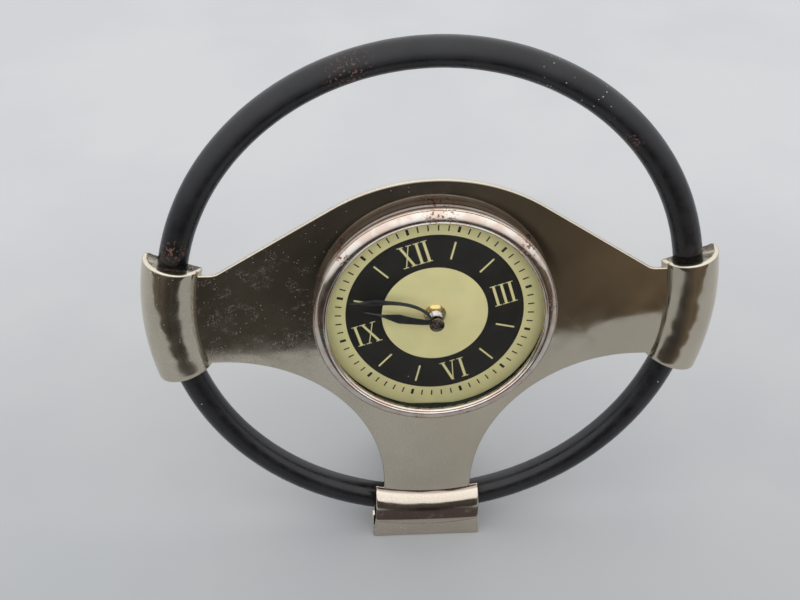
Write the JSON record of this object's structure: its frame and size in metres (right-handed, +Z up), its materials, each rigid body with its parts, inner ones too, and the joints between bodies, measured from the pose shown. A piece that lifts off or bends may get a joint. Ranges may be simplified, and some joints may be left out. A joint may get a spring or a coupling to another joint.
{
  "type": "mantel clock",
  "caption": "Battery mantel clock shaped like a three-spoke steering wheel, with a plated hub, round bezel and rear leg.",
  "frame": {"origin": "middle of the foot's flat underside, on the ground", "axes": "+Z up, the dial faces -Y and leans back 8 degrees, +X to the right seen from the front"},
  "size_m": [0.316, 0.1063, 0.3036],
  "materials": {
    "black_enamel": "satin black enamel",
    "nickel_plate": "polished nickel plate, scratched",
    "bezel_steel": "polished steel, lightly rusted",
    "clear_glass": "clear",
    "dark_ring": "dark grey",
    "fibre_board": "dark fibre",
    "dial_paint": "cream paint with a black hour ring",
    "leg_steel": "black paint",
    "screw_steel": "zinc plated",
    "rubber_black": "matt",
    "brass_nut": "bright",
    "post_nickel": "turned and plated",
    "hand_black": "black paint",
    "cap_nut": "tarnished dark",
    "wheel_plastic": "natural acetal",
    "arbor_steel": "turned",
    "knob_plastic": "red",
    "magnet": "ferrite",
    "stator_steel": "bare lamination",
    "bobbin_plastic": "white",
    "copper_winding": "enamelled copper wire",
    "board_green": "green",
    "crystal_can": "plain",
    "case_plastic": "black",
    "contact_metal": "nickel plated",
    "battery_sleeve": "blue sleeve, no lettering"
  },
  "bodies": {
    "frame": {"rim": "black_enamel", "rim_screws": "screw_steel", "hub_casting": "nickel_plate", "bezel": "bezel_steel", "bezel_screws": "screw_steel", "lens": "clear_glass", "lens_spacer": "dark_ring", "dial_backing": "fibre_board", "dial_plate": "dial_paint", "support_leg": "leg_steel", "leg_screws": "screw_steel", "leg_pad": "rubber_black", "rubber_washer": "rubber_black", "centre_bushing": "post_nickel", "dial_washer": "brass_nut", "bushing_nut": "brass_nut", "stator": "stator_steel", "coil_bobbin": "bobbin_plastic", "coil_winding": "copper_winding", "circuit_board": "board_green", "quartz_crystal": "crystal_can", "front_case": "case_plastic", "rear_cover": "case_plastic", "contact_positive": "contact_metal", "contact_negative": "contact_metal"},
    "minute": {"minute_arbor": "arbor_steel", "minute_hand": "hand_black", "hand_nut": "cap_nut"},
    "hour": {"hour_wheel": "wheel_plastic", "hour_hand": "hand_black"},
    "motion": {"motion_wheel": "wheel_plastic"},
    "knob": {"setting_knob": "knob_plastic"},
    "centre": {"centre_wheel": "wheel_plastic"},
    "third": {"third_wheel": "wheel_plastic"},
    "seconds": {"seconds_wheel": "wheel_plastic"},
    "intermediate": {"intermediate_wheel": "wheel_plastic"},
    "rotor_body": {"rotor": "magnet"},
    "battery_body": {"battery": "battery_sleeve"}
  },
  "joints": [
    {"name": "minute_spin", "type": "hinge", "parent": "frame", "child": "minute", "pos_m": [0, 0.02514, 0.15555], "axis": [0, 0.9903, -0.1392], "continuous": true},
    {"name": "hour_spin", "type": "hinge", "parent": "frame", "child": "hour", "pos_m": [0, 0.02514, 0.15555], "axis": [0, 0.9903, -0.1392], "continuous": true},
    {"name": "motion_spin", "type": "hinge", "parent": "frame", "child": "motion", "pos_m": [-0.0105, 0.02514, 0.15555], "axis": [0, 0.9903, -0.1392], "continuous": true},
    {"name": "knob_spin", "type": "hinge", "parent": "frame", "child": "knob", "pos_m": [-0.01575, 0.02641, 0.16456], "axis": [0, 0.9903, -0.1392], "continuous": true},
    {"name": "seconds_spin", "type": "hinge", "parent": "frame", "child": "seconds", "pos_m": [0, 0.02514, 0.15555], "axis": [0, 0.9903, -0.1392], "continuous": true},
    {"name": "centre_spin", "type": "hinge", "parent": "frame", "child": "centre", "pos_m": [0, 0.02514, 0.15555], "axis": [0, 0.9903, -0.1392], "continuous": true},
    {"name": "third_spin", "type": "hinge", "parent": "frame", "child": "third", "pos_m": [0.0099, 0.02514, 0.15555], "axis": [0, 0.9903, -0.1392], "continuous": true},
    {"name": "intermediate_spin", "type": "hinge", "parent": "frame", "child": "intermediate", "pos_m": [0, 0.02656, 0.16565], "axis": [0, 0.9903, -0.1392], "continuous": true},
    {"name": "rotor_spin", "type": "hinge", "parent": "frame", "child": "rotor_body", "pos_m": [0.00436, 0.02717, 0.16997], "axis": [0, 0.9903, -0.1392], "continuous": true},
    {"name": "battery_pull", "type": "slide", "parent": "frame", "child": "battery_body", "axis": [0, 0.9903, -0.1392], "range_m": [0, 0.03]}
  ],
  "couplings": [
    {"joint": "hour_spin", "follows": "minute_spin", "ratio": 0.083333},
    {"joint": "motion_spin", "follows": "minute_spin", "ratio": -0.33333},
    {"joint": "knob_spin", "follows": "minute_spin", "ratio": 1},
    {"joint": "third_spin", "follows": "seconds_spin", "ratio": -0.13333},
    {"joint": "centre_spin", "follows": "seconds_spin", "ratio": 0.016667},
    {"joint": "intermediate_spin", "follows": "seconds_spin", "ratio": -5},
    {"joint": "rotor_spin", "follows": "seconds_spin", "ratio": 30}
  ]
}
